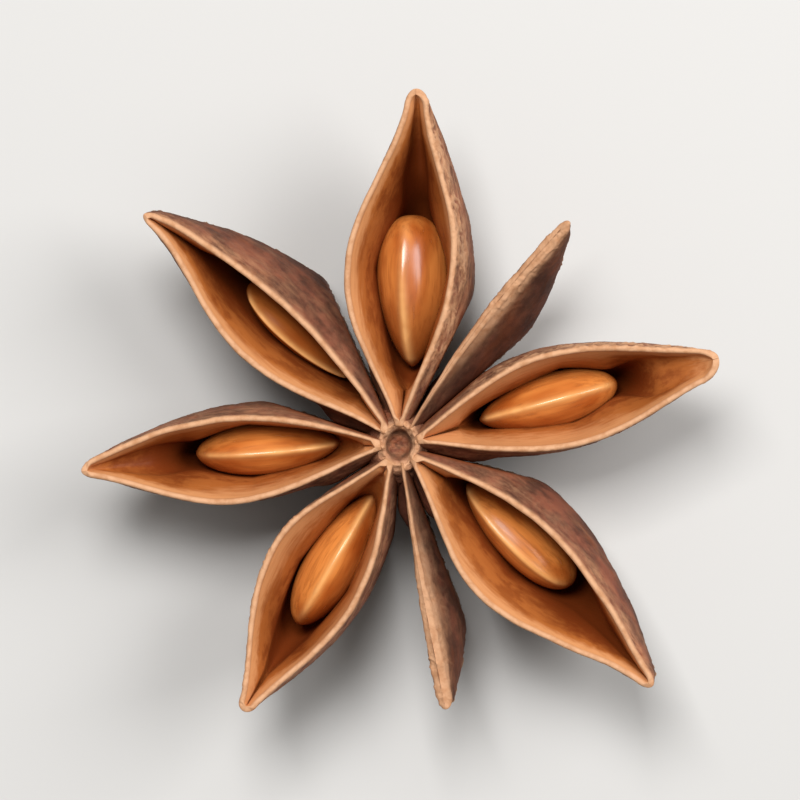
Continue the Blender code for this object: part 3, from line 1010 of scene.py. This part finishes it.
def buildSeed(name, c, number):
    # rings round an egg that is pointed at its inner end: circles a little flattened between
    # the axes, times the body's half-width, plus bell curves round the top for the ridge and
    # its shoulders, then rolled, turned and set in the middle of the frame's box
    s = c["seed"]
    t = np.linspace(0, 1, seedShape["rows"])
    t = np.clip((1 - np.cos(np.pi * t)) / 2, 0.0003, 0.9997)[:, None]
    body = seedBody(t, s["blunt"])
    turn = np.linspace(0, 2 * np.pi, seedShape["turns"], endpoint=False)[None, :]
    flat = 1 - seedShape["flats"] * np.abs(np.sin(2 * turn))
    off = (turn - np.pi / 2) * np.maximum(body, 0.25)
    lift = np.exp(-((off / (seedShape["ridgeWidth"] * (1 + 0.2 * s["dark"][0]))) ** 2))
    shoulder = seedShape["shoulder"] * np.exp(-((off / seedShape["shoulderWidth"]) ** 2))
    fade = smoothStep(0.0, 0.05, t) * smoothStep(1.0, 0.90, t)
    faded = 1 - s["ridgeFades"] * smoothStep(0.35, 0.75, t)
    x = (t - 0.5) * s["length"] + 0 * turn
    y = np.cos(turn) * flat * body * s["thick"]
    z = np.sin(turn) * flat * body * seedShape["halfDepth"] * s["girth"]
    z = z + seedShape["ridge"] * (lift + shoulder) * fade * faded
    points = np.stack([x, y, z], -1)
    dents = layeredNoise(points + number * 13.0, 2.6, 500 + number, 2)
    points = points * (1 + seedShape["dents"] * dents[..., None])
    turned = turnAbout(c["azimuth"] + s["yaw"])
    placed = points @ leanAbout(c["lean"] + s["roll"]).T @ turned.T * mm
    low, high = (np.array(corner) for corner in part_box(s["node"]))
    placedFlat = placed.reshape(-1, 3)
    placed = placed + (low + high) / 2 - (placedFlat.min(0) + placedFlat.max(0)) / 2
    worn = 0.85 + 0.3 * layeredNoise(points, 0.5, 700 + number, 2)
    # the pale ridge is laid stronger on a seed with painted shade: painted light on a ridge that
    # faces away from the lamps
    ridge = (0.9 + 0.15 * s["dark"][0]) * lift * fade * faded * worn
    marks = {
        "ridge": np.clip(ridge, 0, 1),
        "ends": smoothStep(0.09, 0.0, t) * 0.75 + 0.35 * smoothStep(0.95, 1.0, t) + 0 * turn,
        # painted shade, all over and growing towards the inner end
        "dark": s["dark"][0] + s["dark"][1] * smoothStep(0.60, 0.12, t) + 0 * x,
        "place": points + number * 5.0,
    }
    mesh = ringMesh("seed" + name, placed, marks)
    addPiece("seed" + name, mesh, makeSeedMaterial(name, s["gloss"]), "seed_coat", s["node"])


for number, (name, c) in enumerate(carpels.items()):
    if c["seed"]:
        buildSeed(name, c, number)
print("seeds made")

studio = {
    "floorSize": 3.0,
    "floorColour": (0.56, 0.55, 0.535),
    "floorRough": 0.9,
    "keyPlace": (-0.06, 0.17, 0.40),
    "keySize": 0.18,
    "keyPower": 1.80,
    "fillPlace": (0.24, 0.10, 0.26),
    "fillSize": 0.22,
    "fillPower": 0.95,
    "skyColour": (1, 0.985, 0.96),
    "skyStrength": 0.22,
    "cameraHeight": 0.385,
    "frameShare": 0.80,  # how much of the view's width the pod takes
}


def addArea(name, place, size, power):
    # a square light turned to face the pod: tipped by the angle between straight down and the
    # way to the origin, then swung round to it
    light = bpy.data.lights.new(name, "AREA")
    light.size = size
    light.energy = power
    lamp = bpy.data.objects.new(name, light)
    lamp.location = place
    toward = -np.array(place)
    lamp.rotation_euler = (math.acos(-toward[2] / np.linalg.norm(toward)), 0,
                           math.atan2(toward[1], toward[0]) - math.pi / 2)
    bpy.context.scene.collection.objects.link(lamp)


def buildStudio(c):
    # a plain floor, two lights, a pale sky and a camera straight above the middle of the pod;
    # the lens is the sensor's width times the height over the span that has to show
    half = c["floorSize"] / 2
    corners = [(-half, -half, 0), (half, -half, 0), (half, half, 0), (-half, half, 0)]
    mesh = bpy.data.meshes.new("floor")
    mesh.from_pydata(corners, [], [(0, 1, 2, 3)])
    floor = bpy.data.objects.new("floor", mesh)
    bpy.context.scene.collection.objects.link(floor)
    paper = bpy.data.materials.new("floorPaper")
    paper.use_nodes = True
    shader = paper.node_tree.nodes["Principled BSDF"]
    shader.inputs["Base Color"].default_value = (*c["floorColour"], 1)
    shader.inputs["Roughness"].default_value = c["floorRough"]
    mesh.materials.append(paper)
    addArea("keyLight", c["keyPlace"], c["keySize"], c["keyPower"])
    addArea("fillLight", c["fillPlace"], c["fillSize"], c["fillPower"])
    world = bpy.data.worlds.new("studioSky")
    world.use_nodes = True
    sky = world.node_tree.nodes["Background"]
    sky.inputs["Color"].default_value = (*c["skyColour"], 1)
    sky.inputs["Strength"].default_value = c["skyStrength"]
    bpy.context.scene.world = world
    bpy.context.scene.view_settings.view_transform = "Standard"
    low, high = (np.array(corner) for corner in cadBounds)
    middle = (low + high) / 2
    span = max(high[:2] - low[:2]) / c["frameShare"]
    camera = bpy.data.cameras.new("camera")
    camera.lens = camera.sensor_width * c["cameraHeight"] / span
    eye = bpy.data.objects.new("camera", camera)
    eye.location = (middle[0], middle[1], c["cameraHeight"] + high[2])
    bpy.context.scene.collection.objects.link(eye)
    bpy.context.scene.camera = eye
    print("studio made")


buildStudio(studio)
